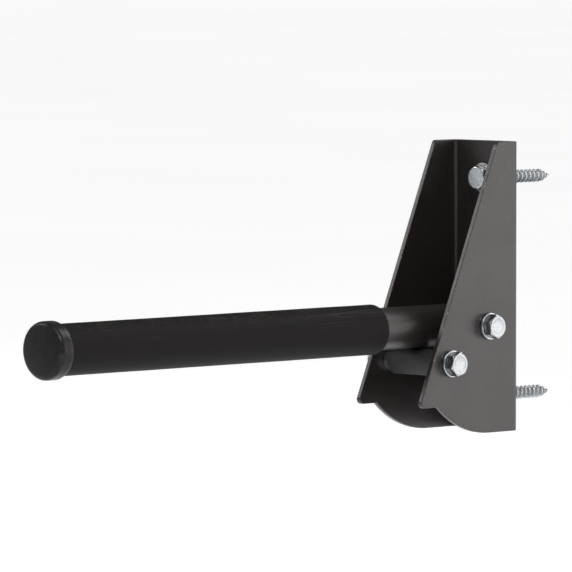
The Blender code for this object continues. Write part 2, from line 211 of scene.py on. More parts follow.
def two_sided_sky():
    """A sky that looks as pale as the floor, but lights the rack only dimly."""
    sky = bpy.data.worlds.new("sky")
    sky.use_nodes = True
    tree = sky.node_tree
    seen = tree.nodes.new("ShaderNodeLightPath").outputs["Is Camera Ray"]
    share = tree.nodes.new("ShaderNodeMapRange")
    share.inputs["To Min"].default_value = SKY_LIGHT
    share.inputs["To Max"].default_value = SKY_SEEN
    tree.links.new(seen, share.inputs["Value"])
    tree.links.new(share.outputs["Result"], tree.nodes["Background"].inputs["Strength"])
    tree.nodes["Background"].inputs["Color"].default_value = (1, 1, 1, 1)
    return sky


bpy.context.scene.world = two_sided_sky()
bpy.context.scene.view_settings.view_transform = "Standard"
print("the sun is", round(math.degrees(high_sun.angle)), "degrees wide, so its shadows are soft")

# %% [markdown]
# ## Writing finishes as sums
#
# A finish is a network of shader nodes, and most of it is arithmetic on masks. Wired by hand, that takes
# dozens of lines that hide the idea. Here one small class holds a node's output, and each sum on it adds
# the Math node for it, so a mask reads like the formula it is. Any other node comes from its node method.

# %% A tone that can be added, taken away and multiplied
def pick(sockets, name):
    """A socket by its number, or the first one in use with that name."""
    if isinstance(name, int):
        return sockets[name]
    return next(socket for socket in sockets if socket.name == name and socket.enabled)


class Tone:
    """One value of a finish, held by a node's output. A sum on it adds a Math node."""

    def __init__(self, tree, socket=None):
        self.tree = tree
        self.socket = socket

    def node(self, kind, settings=None, sockets=None, out=0):
        """Add a node: its settings first, then what its sockets hold, and return one output."""
        made = self.tree.nodes.new(kind)
        for name, value in (settings or {}).items():
            if name == "stops":
                set_stops(made.color_ramp, value)
            else:
                setattr(made, name, value)
        for name, value in (sockets or {}).items():
            target = pick(made.inputs, name)
            if isinstance(value, Tone):
                self.tree.links.new(value.socket, target)
            else:
                target.default_value = value
        return Tone(self.tree, pick(made.outputs, out) if made.outputs else None)

    def sum(self, operation, first, second):
        return self.node("ShaderNodeMath", {"operation": operation}, {0: first, 1: second})

    def __add__(self, other):
        return self.sum("ADD", self, other)

    def __radd__(self, other):
        return self.sum("ADD", other, self)

    def __sub__(self, other):
        return self.sum("SUBTRACT", self, other)

    def __rsub__(self, other):
        return self.sum("SUBTRACT", other, self)

    def __mul__(self, other):
        return self.sum("MULTIPLY", self, other)

    def __rmul__(self, other):
        return self.sum("MULTIPLY", other, self)

    def __abs__(self):
        return self.sum("ABSOLUTE", self, 0.0)


def set_stops(ramp, stops):
    """Give a colour ramp its stops, from (position, colour) pairs."""
    ramp.elements.remove(ramp.elements[1])
    ramp.elements[0].position = stops[0][0]
    ramp.elements[0].color = stops[0][1]
    for position, colour in stops[1:]:
        ramp.elements.new(position).color = colour


methods = [name.strip("_") for name, value in vars(Tone).items() if callable(value)]
print("a tone can:", ", ".join(methods))

# %% Words for places, grain and masks
def rack_place(start):
    """A point's place on the rack, in metres."""
    return start.node("ShaderNodeTexCoord", out="Object")


def along_axis(place, axis):
    """One of a place's three numbers."""
    return place.node("ShaderNodeSeparateXYZ", {}, {"Vector": place}, out=axis)


def mark(start, name):
    """How strongly a point carries a mark that its maker left in the mesh."""
    return start.node("ShaderNodeAttribute", {"attribute_name": name}, out="Fac")


def stretched(place, x, y, z):
    """The same place, with small numbers for the directions that its grain is drawn out along."""
    return place.node("ShaderNodeVectorMath", {"operation": "MULTIPLY"}, {0: place, 1: (x, y, z)})


def leaned(place, angle):
    """The same place, turned about the X axis, so that a drawn-out grain runs at a slant."""
    sockets = {"Vector": place, "Angle": angle}
    return place.node("ShaderNodeVectorRotate", {"rotation_type": "X_AXIS"}, sockets)


def grain(place, size, detail=2.0, roughness=0.5):
    """Soft random grain between 0 and 1, its lumps about one size across."""
    sockets = {"Vector": place, "Scale": 1 / size, "Detail": detail, "Roughness": roughness}
    return place.node("ShaderNodeTexNoise", {}, sockets)


def between(value, low, high):
    """0 below low, 1 above high, and a soft step from one to the other."""
    sockets = {"Value": value, "From Min": low, "From Max": high}
    return value.node("ShaderNodeMapRange", {"interpolation_type": "SMOOTHSTEP"}, sockets)


def scratches(place, x, y, z, size=0.35 * MM, width=0.035):
    """Thin lines where a drawn-out grain crosses its middle."""
    return 1 - between(abs(grain(stretched(place, x, y, z), size) - 0.5), 0.0, width)


def covered(share, under, over):
    """A colour with a share of another colour over it."""
    sockets = {"Factor": share, "A": under, "B": over}
    return share.node("ShaderNodeMix", {"data_type": "RGBA"}, sockets, out="Result")


def facing_up(start, low=0.45, high=0.98):
    """1 on surfaces that look up, where dust settles, and 0 on the others."""
    normal = start.node("ShaderNodeTexCoord", out="Normal")
    return between(along_axis(normal, "Z"), low, high)


print("a 1 mm grain has a noise scale of", round(1 / (1 * MM)))

# %% Start and complete a finish
FINISHES = {}


def new_finish(slot):
    """Start the finish for one of the rack's material slots."""
    material = bpy.data.materials.new(slot)
    material.use_nodes = True
    material.node_tree.nodes.clear()
    FINISHES[slot] = material
    return Tone(material.node_tree)


def complete(start, colour, roughness, metallic, height, depth, **fixed):
    """Join colour, gloss and relief in one shader. A height of 1 stands depth metres proud."""
    relief = {"Strength": 1.0, "Distance": depth, "Height": height}
    normal = start.node("ShaderNodeBump", {}, relief, out="Normal")
    sockets = {"Base Color": colour, "Roughness": roughness, "Metallic": metallic, "Normal": normal}
    for name, value in fixed.items():
        sockets[name.replace("_", " ")] = value
    shader = start.node("ShaderNodeBsdfPrincipled", {}, sockets)
    start.node("ShaderNodeOutputMaterial", {}, {"Surface": shader})


floor_start = new_finish("floor")
floor_cloud = grain(rack_place(floor_start), 0.8, detail=4)
floor_colour = covered(floor_cloud, (0.80, 0.80, 0.80, 1), (0.84, 0.84, 0.84, 1))
complete(
    floor_start, floor_colour, 0.75 + 0.1 * floor_cloud, 0.0, floor_cloud, 0.2 * MM,
    Emission_Color=floor_colour, Emission_Strength=0.70, Specular_IOR_Level=0.1,
)
floor.data.materials.append(FINISHES.pop("floor"))
print("the floor has", len(floor.data.materials[0].node_tree.nodes), "nodes")

# %% [markdown]
# ## Black powder coat
#
# The channel, the tube and the barrel are steel under satin black powder, melted on in an oven. It flows
# into a fine orange peel, about a millimetre from lump to lump, and draws thin over sharp edges, where it
# rubs through to the steel first. A flat black with one gloss would look like a drawing. Peel as relief, a
# slow drift of the gloss, worn edges, a few hairline scratches and settled dust are what make it read as
# paint.

# %% Mix the powder coat
COAT_BLACK = (0.0145, 0.0115, 0.0110, 1)
COAT_RUBBED = (0.047, 0.044, 0.042, 1)
BARE_STEEL = (0.33, 0.32, 0.31, 1)
DUST = (0.26, 0.25, 0.23, 1)


def powder_coat(slot, peel, gloss, pressed=False):
    """Satin black powder coat on steel. Pressed sheet also shows where the folding die held it."""
    start = new_finish(slot)
    place = rack_place(start)
    lumps = grain(place, peel, detail=1.0)
    pimples = grain(place, 0.3 * MM)
    cloud = grain(place, 24 * MM, detail=3)
    broken = grain(place, 1.1 * MM, detail=4, roughness=0.65)
    knocks = grain(place, 13 * MM, detail=2)

    edge = mark(start, "edge")
    rubbed = between(edge + 0.6 * broken, 0.95, 1.45)
    bare = between(edge + 1.3 * broken + 0.9 * knocks, 2.20, 2.30)
    dust = facing_up(start) * between(grain(place, 1.6 * MM, detail=6, roughness=0.7), 0.35, 0.80)
    hairs = 0.0
    for lean in (0.4, 1.3, 2.5):
        leaning = leaned(place, lean)
        patch = between(grain(leaning, 17 * MM, detail=3), 0.54, 0.70)
        hairs = hairs + patch * scratches(leaning, 1, 0.03, 1, 1.9 * MM, 0.007)

    colour = covered(0.6 * rubbed + 0.5 * hairs, COAT_BLACK, COAT_RUBBED)
    colour = covered(bare, colour, BARE_STEEL)
    colour = covered(0.07 * dust, colour, DUST)
    roughness = gloss + 0.16 * (cloud - 0.5) + 0.06 * (lumps - 0.5) - 0.05 * rubbed + 0.14 * dust
    height = lumps + 0.25 * pimples - 0.5 * bare - 0.25 * hairs
    if pressed:
        die_line = 1 - between(abs(along_axis(place, "Y") + 9.4 * MM), 0.1 * MM, 0.9 * MM)
        height = height - 0.35 * die_line
    complete(start, colour, roughness, 0.8 * bare, height, 0.06 * MM, IOR=1.5)


powder_coat("powder_coat", 1.2 * MM, 0.33, pressed=True)
powder_coat("arm_powder_coat", 0.9 * MM, 0.36)
powder_coat("weld_metal", 0.6 * MM, 0.30)
print("coated finishes:", ", ".join(FINISHES))

# %% [markdown]
# ## Zinc plate
#
# The screws, bolts, nuts and washers are plated with bright zinc. They are barrelled in bulk, so they knock
# against each other and come out with fine scratches in every direction, and the plating dries with a faint
# blue and yellow cast. Their thread roots and the undersides of their heads get painted shade, and grime makes
# them duller there. Brushed metal with one direction would be wrong for them, so three drawn-out grains, one
# along each axis, are laid over each other.

# %% Mix the zinc plate
ZINC_TONES = [(0.30, (0.64, 0.69, 0.74)), (0.52, (0.77, 0.81, 0.84)), (0.72, (0.89, 0.89, 0.87))]
# the dark that is painted into thread roots and under heads as shade
PAINTED_ROOT_SHADE = (0.045, 0.040, 0.034, 1)


def zinc_plate(slot, bright, gloss, aged):
    """Barrelled zinc. Bright is how much light it sends back, and aged how much of it has gone dull."""
    start = new_finish(slot)
    place = rack_place(start)
    cloud = grain(place, 3.5 * MM, detail=3)
    pits = grain(place, 0.18 * MM, detail=3)
    forged = grain(place, 2.6 * MM, detail=1)
    lines = scratches(place, 0.1, 1, 1) + scratches(place, 1, 0.1, 1) + scratches(place, 1, 1, 0.1)

    dull = between(grain(place, 1.8 * MM, detail=5, roughness=0.65), 0.62 - aged, 0.80 - aged)
    # painted shade in thread roots and under heads, where the crease mark is high; it also makes them rougher and
    # less metallic, as grime
    shade_and_grime = mark(start, "crease") * between(grain(place, 0.7 * MM, detail=3), 0.25, 0.65)
    stops = [(position, (*(bright * part for part in tone), 1)) for position, tone in ZINC_TONES]
    tones = cloud.node("ShaderNodeValToRGB", {"stops": stops}, {"Fac": cloud}, out="Color")
    colour = covered(0.35 * dull, tones, (0.42, 0.42, 0.42, 1))
    colour = covered(0.85 * shade_and_grime, colour, PAINTED_ROOT_SHADE)
    roughness = gloss + 0.10 * (cloud - 0.5) + 0.16 * dull + 0.03 * lines + 0.3 * shade_and_grime
    height = 3.0 * forged + 0.5 * pits - 0.35 * lines - 0.3 * dull
    complete(start, colour, roughness, 1 - 0.8 * shade_and_grime, height, 0.012 * MM)


zinc_plate("lag_zinc", 0.71, 0.26, 0.02)
# the bolts' zinc is set darker than the rest: painted shade that keeps their heads from burning out where they
# mirror the side panel
zinc_plate("bolt_zinc", 0.46, 0.27, 0.0)
zinc_plate("nut_zinc", 0.55, 0.28, 0.03)
zinc_plate("washer_zinc", 0.62, 0.31, 0.05)
zinc_plate("spacer_zinc", 0.62, 0.30, 0.04)
print("finishes so far:", len(FINISHES))

# %% [markdown]
# ## Rubber, nylon and moulded plastic
#
# The rack's other pieces are soft or moulded. The sleeve is an extruded black tube: matt, with faint lines
# along its length from the die and scuffs on top, where loads are slid on and off. The stop's rubber is
# denser and has a dry bloom. The bushes are natural nylon, off-white and a little waxy. The cap and the plug
# are moulded black plastic with the fine spark-eroded skin of their mould, which use has polished on the
# rim. Each gets its own grain, because blacks that differ only in gloss would melt into one piece.

# %% Mix the sleeve and the stop rubber
def sleeve_rubber(slot):
    """Extruded black rubber, scuffed lengthwise along the top."""
    start = new_finish(slot)
    place = rack_place(start)
    pebbles = grain(place, 0.35 * MM, detail=3)
    drawn = grain(stretched(place, 1, 0.004, 1), 0.7 * MM, detail=2)
    cloud = grain(place, 30 * MM, detail=4)
    top = facing_up(start)
    streaks = grain(stretched(place, 1, 0.03, 1), 1.5 * MM, detail=4, roughness=0.6)
    used = facing_up(start, -0.1, 0.8) * between(grain(place, 36 * MM, detail=2), 0.38, 0.64)
    scuffs = used * between(streaks, 0.50, 0.68)
    dust = top * between(grain(place, 4 * MM, detail=5, roughness=0.65), 0.40, 0.75)
    rubbed = mark(start, "edge") * between(pebbles, 0.4, 0.7)

    colour = covered(cloud, (0.0062, 0.0054, 0.0052, 1), (0.0100, 0.0090, 0.0088, 1))
    colour = covered(0.36 * scuffs, colour, (0.036, 0.034, 0.032, 1))
    colour = covered(0.4 * rubbed, colour, (0.060, 0.058, 0.055, 1))
    colour = covered(0.07 * dust, colour, DUST)
    roughness = 0.62 + 0.10 * (cloud - 0.5) - 0.12 * scuffs + 0.16 * dust + 0.08 * (pebbles - 0.5)
    height = 0.6 * pebbles + 0.5 * drawn - 0.3 * scuffs
    complete(start, colour, roughness, 0.0, height, 0.05 * MM, Specular_IOR_Level=0.08)


def stop_rubber(slot):
    """Dense black rubber with a dry bloom on it."""
    start = new_finish(slot)
    place = rack_place(start)
    skin_grain = grain(place, 0.22 * MM, detail=3)
    bloom = between(grain(place, 2.6 * MM, detail=5, roughness=0.7), 0.45, 0.75)
    colour = covered(0.5 * bloom, (0.018, 0.018, 0.019, 1), (0.042, 0.041, 0.040, 1))
    colour = covered(0.5 * mark(start, "edge"), colour, (0.050, 0.048, 0.046, 1))
    complete(start, colour, 0.58 + 0.18 * bloom, 0.0, skin_grain, 0.04 * MM, Specular_IOR_Level=0.3)


sleeve_rubber("sleeve_rubber")
stop_rubber("bumper_rubber")
print("rubber nodes:", len(FINISHES["sleeve_rubber"].node_tree.nodes))

# %% Mix the nylon and the moulded plastic
def natural_nylon(slot):
    """Natural nylon: off-white, waxy, with painted shade in its hollow corner, where grease also makes it
    glossier.
    """
    start = new_finish(slot)
    place = rack_place(start)
    cloud = grain(place, 3 * MM, detail=3)
    tool_marks = grain(stretched(place, 1, 0.2, 0.2), 0.2 * MM, detail=2)
    # painted shade in the bush's hollow corner, where the crease mark is high; the same mask makes it glossier, as
    # grease
    shade_and_grease = mark(start, "crease") * between(grain(place, 1.2 * MM, detail=4), 0.3, 0.7)
    colour = covered(cloud, (0.66, 0.63, 0.55, 1), (0.76, 0.74, 0.68, 1))
    colour = covered(0.6 * shade_and_grease, colour, (0.20, 0.17, 0.12, 1))
    roughness = 0.44 + 0.12 * (cloud - 0.5) - 0.1 * shade_and_grease
    complete(start, colour, roughness, 0.0, tool_marks, 0.02 * MM, IOR=1.53)


def moulded_plastic(slot, gloss):
    """Black plastic with the matt skin of a spark-eroded mould, and a rim that its use has polished."""
    start = new_finish(slot)
    place = rack_place(start)
    spark = grain(place, 0.24 * MM, detail=3, roughness=0.6)
    flow = grain(stretched(place, 1, 0.5, 1), 9 * MM, detail=3)
    touched = mark(start, "edge") * between(grain(place, 2.2 * MM, detail=4), 0.30, 0.62)
    nicks = scratches(place, 0.04, 1, 1, 1.3 * MM, 0.010) + scratches(place, 1, 1, 0.04, 1.5 * MM, 0.010)
    off_axis = stretched(place, 1, 0, 1)
    radius = off_axis.node("ShaderNodeVectorMath", {"operation": "LENGTH"}, {0: off_axis}, "Value")
    rim = between(radius, 14.0 * MM, 15.2 * MM)
    nicks = nicks * between(grain(place, 7 * MM, detail=2), 0.46, 0.62) * (1 - rim)
    colour = covered(flow, (0.0070, 0.0060, 0.0062, 1), (0.0100, 0.0090, 0.0092, 1))
    colour = covered(0.30 * touched, colour, (0.050, 0.049, 0.049, 1))
    colour = covered(0.25 * nicks, colour, (0.070, 0.070, 0.070, 1))
    roughness = gloss + 0.08 * (flow - 0.5) - 0.22 * rim - 0.06 * touched + 0.08 * nicks
    height = (1 - 0.6 * rim) * spark - 0.6 * nicks
    complete(start, colour, roughness, 0.0, height, 0.035 * MM, Specular_IOR_Level=0.15)


natural_nylon("nylon")
moulded_plastic("cap_plastic", 0.52)
moulded_plastic("plug_plastic", 0.44)
print("every slot has a finish:", sorted(FINISHES) == sorted(set(SLOT_OF.values())))

# %% [markdown]
# ## Shaping from rings
#
# Nearly every piece here is turned, threaded or drawn along a line, so it can be described by rings of
# points with faces between them. Blender's own cylinders would need cutting and bevelling afterwards. With
# rings, the rounding of an edge is there from the start, and each point can carry a mark: how much of an
# edge it is, where coating rubs off, and how much of a crease, where shade is painted in. The finishes read these.

# %% Skin the rings
MARKS = ("edge", "crease")


def new_shape():
    """An empty mesh with room for the marks."""
    shape = bmesh.new()
    for name in MARKS:
        shape.verts.layers.float.new(name)
    return shape


def skin(shape, rings, joined=False, capped=False):
    """Add faces between rings of (place, edge, crease) points. A ring of one point is a tip."""
    layers = [shape.verts.layers.float[name] for name in MARKS]
    rows = []
    for ring in rings:
        row = [shape.verts.new(point[0]) for point in ring]
        for vertex, point in zip(row, ring):
            for layer, value in zip(layers, point[1:]):
                vertex[layer] = value
        rows.append(row)
    if capped:
        shape.faces.new(rows[0])
        shape.faces.new(rows[-1])
    if joined:
        rows.append(rows[0])
    for lower, upper in zip(rows, rows[1:]):
        for step in range(max(len(lower), len(upper))):
            corners = []
            for row, place in ((lower, step), (lower, step + 1), (upper, step + 1), (upper, step)):
                corner = row[place % len(row)]
                if corner not in corners:
                    corners.append(corner)
            shape.faces.new(corners)


print("marks on each point:", MARKS)

# %% Round a profile and turn it
def rounded(corners, closed=True, steps=4, hold=0.8 * MM):
    """Round the corners of a profile of (radius, height, rounding).

    A hollow corner has a minus sign before its rounding. Each point comes back with its marks, and
    a hold on each side of a corner keeps the mark from spreading over the straight beside it.
    """
    points = []
    for index, (radius, height, rounding) in enumerate(corners):
        if rounding == 0 or (not closed and index in (0, len(corners) - 1)):
            points.append((radius, height, 0.0, 0.0))
            continue
        corner = Vector((radius, height))
        before = Vector(corners[index - 1][:2]) - corner
        after = Vector(corners[(index + 1) % len(corners)][:2]) - corner
        half = before.angle(after) / 2
        reach = abs(rounding) / math.tan(half)
        inward = (before.normalized() + after.normalized()).normalized()
        middle = corner + inward * abs(rounding) / math.sin(half)
        start = corner + before.normalized() * reach - middle
        turn = -start.angle_signed(corner + after.normalized() * reach - middle)
        if hold and before.length > 2.2 * (reach + hold):
            place = corner + before.normalized() * (reach + hold)
            points.append((place.x, place.y, 0.0, 0.0))
        for step in range(steps + 1):
            place = middle + Matrix.Rotation(turn * step / steps, 2) @ start
            strength = 0.4 + 0.6 * math.sin(math.pi * step / steps)
            points.append((place.x, place.y, strength * (rounding > 0), strength * (rounding < 0)))
        if hold and after.length > 2.2 * (reach + hold):
            place = corner + after.normalized() * (reach + hold)
            points.append((place.x, place.y, 0.0, 0.0))
    return points


def divided(profile, longest):
    """Split the long straights of a profile, so that there are points to move."""
    points = []
    for here, following in zip(profile, profile[1:] + profile[:1]):
        length = math.dist(here[:2], following[:2])
        count = max(1, math.ceil(length / longest))
        for step in range(count):
            share = step / count
            points.append(tuple(a + (b - a) * share for a, b in zip(here, following)))
    return points


def along(axis, origin):
    """A way to place points by radius, angle and height along an axis."""
    axis = Vector(axis)
    origin = Vector(origin)
    up = Vector((0, 0, 1))
    side = up.cross(axis)

    def spot(radius, angle, height):
        return origin + axis * height + (side * math.cos(angle) + up * math.sin(angle)) * radius

    return spot


def turned(shape, profile, spot, closed=True, sides=96):
    """Turn (radius, height, edge, crease) points round an axis. A closed profile makes a ring."""
    rings = []
    for radius, height, edge, crease in profile:
        count = 1 if radius < 1e-6 else sides
        angles = [math.tau * step / count for step in range(count)]
        rings.append([(spot(radius, angle, height), edge, crease) for angle in angles])
    skin(shape, rings, joined=closed)


one_corner = rounded([(1, 0, 0.1), (1, 1, 0), (0, 0, 0)])
print("a corner rounded in 4 steps takes", len(one_corner) - 2, "points")

# %% Put a shape in its place
def set_up(shape, node, name, slot=None, replaces=True):
    """Make a shape the piece that stands for a node: it moves with its body and wears its finish.

    Blender guesses which side of a face is outside, and guesses wrong on an open channel. A solid
    that comes out with less than no volume is inside out, so its faces are turned round.
    """
    bmesh.ops.recalc_face_normals(shape, faces=shape.faces)
    if shape.calc_volume(signed=True) < 0:
        bmesh.ops.reverse_faces(shape, faces=shape.faces)
    mesh = bpy.data.meshes.new(name)
    shape.to_mesh(mesh)
    shape.free()
    mesh.shade_smooth()
    mesh.set_sharp_from_angle(angle=math.radians(40))
    mesh.materials.append(FINISHES[slot or SLOT_OF[node]])
    piece = bpy.data.objects.new(name, mesh)
    bpy.context.scene.collection.objects.link(piece)
    flat = piece.modifiers.new("flat faces stay flat", "WEIGHTED_NORMAL")
    flat.keep_sharp = True
    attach(piece, BODY_OF[node])
    if replaces:
        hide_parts(node)
    slot or SLOT_OF[node]
    low = [min(vertex.co[axis] for vertex in mesh.vertices) for axis in range(3)]
    high = [max(vertex.co[axis] for vertex in mesh.vertices) for axis in range(3)]
    size = [round((b - a) / MM, 1) for a, b in zip(low, high)]
    print(f"{name}: {size} mm, {len(mesh.polygons)} faces")


# %% [markdown]
# ## The channel
#
# A real channel starts as a flat blank, cut by laser from 3 mm sheet with its slopes, its lip, its round
# lower edge and its holes, and is then folded up on a press. It could be carved from a solid block with
# booleans, but then the holes' edges and the folds' marks would all be guesses. So it is made here the way
# the shop makes it: draw the blank, break its edges, fill it, and fold it. Blender can fill a drawn outline
# by itself, but with triangles as long as the sheet, which crease across the folds. A net of points inside
# the outline keeps them short.

# %% The sizes of the blank
channel_low, channel_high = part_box("wall_channel")
SHEET = 3.0 * MM
EDGE_BREAK = 0.4 * MM
FOLD_OUTSIDE = SHEET + 2.5 * MM
HALF_WIDTH = channel_high.x
TOP = channel_high.z
BOTTOM = channel_low.z
TOP_DEPTH = 20.0 * MM
LIP_DEPTH = 87.0 * MM
LIP_LEVEL = -46.5 * MM
CORNER = 3.0 * MM
BELLY = -BOTTOM
FLAT_BACK = HALF_WIDTH - FOLD_OUTSIDE
FOLD_LENGTH = math.pi / 2 * (FOLD_OUTSIDE - SHEET / 2)
LAG_SPOTS = [sum(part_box(node), Vector()) / 2 for node in ("upper_lag_washer", "lower_lag_washer")]
STOP = sum(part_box("stop_spacer"), Vector()) / 2


def unrolled(depth):
    """How far from the blank's middle a point lies that ends up this far in front of the back."""
    return FLAT_BACK + FOLD_LENGTH + depth - FOLD_OUTSIDE


print("the blank is", round(2 * unrolled(-channel_low.y) / MM, 1), "mm wide before it is folded")

# %% Draw the blank
# every hole that an 8 mm shank passes is 8.6 mm wide
HOLE = 4.3 * MM
BELLY_STEPS = 36
HOLE_PLACES = [Vector((0, spot.z)) for spot in LAG_SPOTS]
for side in (1, -1):
    HOLE_PLACES.append(Vector((side * unrolled(-PIVOT.y), PIVOT.z)))
    HOLE_PLACES.append(Vector((side * unrolled(-STOP.y), STOP.z)))


def blank_outline():
    """Down the right half and back up the left one, turned so that the sheet is on its left."""
    start = math.asin(LIP_LEVEL / BELLY)
    corners = [(unrolled(TOP_DEPTH), TOP, CORNER), (unrolled(LIP_DEPTH), LIP_LEVEL, CORNER)]
    for step in range(BELLY_STEPS + 1):
        angle = start + (-math.pi / 2 - start) * step / BELLY_STEPS
        corners.append((unrolled(-PIVOT.y + BELLY * math.cos(angle)), BELLY * math.sin(angle), 0))
    mirrored = [(-x, z, rounding) for x, z, rounding in reversed(corners)]
    points = divided(rounded(corners + mirrored, steps=10, hold=None), 4 * MM)
    return [Vector((x, z)) for x, z, _, _ in reversed(points)]


def hole_outline(place, sides=64):
    angles = [-math.tau * step / sides for step in range(sides)]
    return [place + HOLE * Vector((math.cos(angle), math.sin(angle))) for angle in angles]


def moved_in(outline, distance):
    """An outline moved into the sheet, which is on its left all the way round."""
    moved = []
    for index, here in enumerate(outline):
        back = (here - outline[index - 1]).normalized()
        ahead = (outline[(index + 1) % len(outline)] - here).normalized()
        left = Vector((-back.y - ahead.y, back.x + ahead.x)).normalized()
        moved.append(here + left * distance / left.dot(Vector((-ahead.y, ahead.x))))
    return moved


OUTLINES = [blank_outline()] + [hole_outline(place) for place in HOLE_PLACES]
print("outlines:", len(OUTLINES), "with", sum(len(outline) for outline in OUTLINES), "points")

# %% Fill the blank with a net of small triangles
RIM = 1.0 * MM
NET = 4.0 * MM
EDGE_WEAR = (0.4, 0.8, 1.0, 0.8, 0.5)


def fill_sheet(shape, level):
    """Cover the sheet between its rims. Points of a net keep the triangles from becoming slivers."""
    points = []
    edges = []
    for outline in OUTLINES:
        first = len(points)
        points += moved_in(outline, EDGE_BREAK + RIM)
        edges += [(first + step, first + (step + 1) % len(outline)) for step in range(len(outline))]
    near = KDTree(len(points))
    for number, point in enumerate(points):
        near.insert(point.to_3d(), number)
    near.balance()
    half = math.ceil(unrolled(LIP_DEPTH) / NET)
    net = [Vector((x * NET, z * NET)) for x in range(-half, half + 1) for z in range(-16, 28)]
    net = [point for point in net if near.find(point.to_3d())[2] > 0.6 * NET]
    found, _, faces, _, _, _ = delaunay_2d_cdt(points + net, edges, [], 1, 1e-7)
    vertices = [shape.verts.new((point.x, point.y, level)) for point in found]
    for face in faces:
        middle = sum((found[corner] for corner in face), Vector((0, 0))) / len(face)
        if all((middle - place).length > HOLE + EDGE_BREAK + RIM for place in HOLE_PLACES):
            shape.faces.new([vertices[corner] for corner in face])
    bmesh.ops.delete(shape, geom=[vertex for vertex in vertices if not vertex.link_faces], context="VERTS")


def flat_blank():
    """The sheet with its edges broken: rings over every rim, and a filled face on each side."""
    shape = new_shape()
    half = SHEET / 2
    over = [(EDGE_BREAK + RIM, half, 0.0)]
    for step, worn in enumerate(EDGE_WEAR):
        angle = math.radians(90 - 22.5 * step)
        inset = EDGE_BREAK * (1 - math.cos(angle))
        over.append((inset, half - EDGE_BREAK * (1 - math.sin(angle)), worn))
    over += [(inset, -level, worn) for inset, level, worn in reversed(over)]
    for outline in OUTLINES:
        rings = []
        for inset, level, worn in over:
            lifted = [(point.x, point.y, level) for point in moved_in(outline, inset)]
            rings.append([(Vector(place), worn, 0.0) for place in lifted])
        skin(shape, rings)
    fill_sheet(shape, half)
    fill_sheet(shape, -half)
    bmesh.ops.remove_doubles(shape, verts=shape.verts, dist=0.01 * MM)
    return shape


blank = flat_blank()
print("open edges left in the blank:", sum(not edge.is_manifold for edge in blank.edges))

# %% Fold it
FOLD_STEPS = 12


def folded(point):
    """Where a point of the flat blank lies once both side plates are folded up."""
    side = math.copysign(1, point.x)
    length = abs(point.x)
    radius = FOLD_OUTSIDE - SHEET / 2 - point.z
    turn = min(max(length - FLAT_BACK, 0) / FOLD_LENGTH, 1) * math.pi / 2
    straight = max(length - FLAT_BACK - FOLD_LENGTH, 0)
    x = min(length, FLAT_BACK) + radius * math.sin(turn)
    y = -FOLD_OUTSIDE + radius * math.cos(turn) - straight
    return Vector((side * x, y, point.y))


def fold_up(shape):
    """Give the blank lines across each fold, then bend it along them."""
    crease = shape.verts.layers.float["crease"]
    cuts = [FLAT_BACK + FOLD_LENGTH * step / FOLD_STEPS for step in range(FOLD_STEPS + 1)]
    for cut in cuts + [-cut for cut in cuts]:
        everything = list(shape.verts) + list(shape.edges) + list(shape.faces)
        bmesh.ops.bisect_plane(shape, geom=everything, plane_co=(cut, 0, 0), plane_no=(1, 0, 0), dist=1e-6)
    for vertex in shape.verts:
        from_fold = abs(vertex.co.x) - FLAT_BACK - FOLD_LENGTH / 2
        vertex[crease] = math.exp(-(from_fold / (4 * MM)) ** 2) * (vertex.co.z > 0)
        vertex.co = folded(vertex.co)
    return shape


set_up(fold_up(blank), "wall_channel", "folded_channel")

# %% [markdown]
# ## Hexagons
#
# All the rack's fasteners have 13 mm hexagons. A hexagon bar is chamfered in a lathe, and where that cone
# meets the flats it leaves the curved edges that every bolt head has. A six-sided cylinder has none of that.
# Here each ring follows the hexagon's own distance from its axis, and the chamfer is a cone over it, so the
# curves come out by themselves. The corners are sampled closely, because that is where the light catches.

# %% The hexagon and its chamfered end
FLATS = 13.0 * MM
ROUND_FACE = FLATS / 2 * 0.95
CORNER_STEPS = (-30, -23, -16, -10, -6, -3.6, -2, -0.8, 0.8, 2, 3.6, 6, 10, 16, 23)


def hex_angles(turned_by):
    """Angles round a hexagon, close together at its corners."""
    return [math.radians(turned_by + 30 + 60 * side + step) for side in range(6) for step in CORNER_STEPS]


def hexagon(angle, turned_by):
    """From the middle of the hexagon to its side, with its six corners slightly round."""
    sharpness = 60
    sides = [abs(math.cos(angle - math.radians(turned_by + 60 * side))) ** sharpness for side in range(3)]
    return FLATS / 2 * sum(sides) ** (-1 / sharpness)


def hex_ring(spot, turned_by, place, edge=0.0, crease=0.0):
    """One ring. place gives a radius and a height from the hexagon's own radius at an angle."""
    ring = []
    for angle in hex_angles(turned_by):
        radius, height = place(hexagon(angle, turned_by))
        ring.append((spot(radius, angle, height), edge, crease))
    return ring


def round_ring(spot, turned_by, radius, height, edge=0.0, crease=0.0):
    """A round ring with its points at the hexagon's angles."""
    return hex_ring(spot, turned_by, lambda side: (radius, height), edge, crease)


def chamfered_end(spot, turned_by, level, out):
    """Rings from the round face to the flats. out is 1 for a face up the axis, and -1 down it."""
    def cone(radius):
        return level - out * (radius - ROUND_FACE) * math.tan(math.radians(30))

    def part_way(side):
        return ROUND_FACE + 0.4 * (side - ROUND_FACE)

    return [
        round_ring(spot, turned_by, ROUND_FACE - 0.12 * MM, level, 0.4),
        round_ring(spot, turned_by, ROUND_FACE, level - out * 0.012 * MM, 1.0),
        hex_ring(spot, turned_by, lambda side: (part_way(side), cone(part_way(side))), 0.4),
        hex_ring(spot, turned_by, lambda side: (side - 0.09 * MM, cone(side - 0.09 * MM)), 0.5),
        hex_ring(spot, turned_by, lambda side: (side - 0.02 * MM, cone(side) - out * 0.03 * MM), 1.0),
        hex_ring(spot, turned_by, lambda side: (side, cone(side) - out * 0.13 * MM), 0.5),
        hex_ring(spot, turned_by, lambda side: (side, cone(side) - out * 0.60 * MM)),
    ]


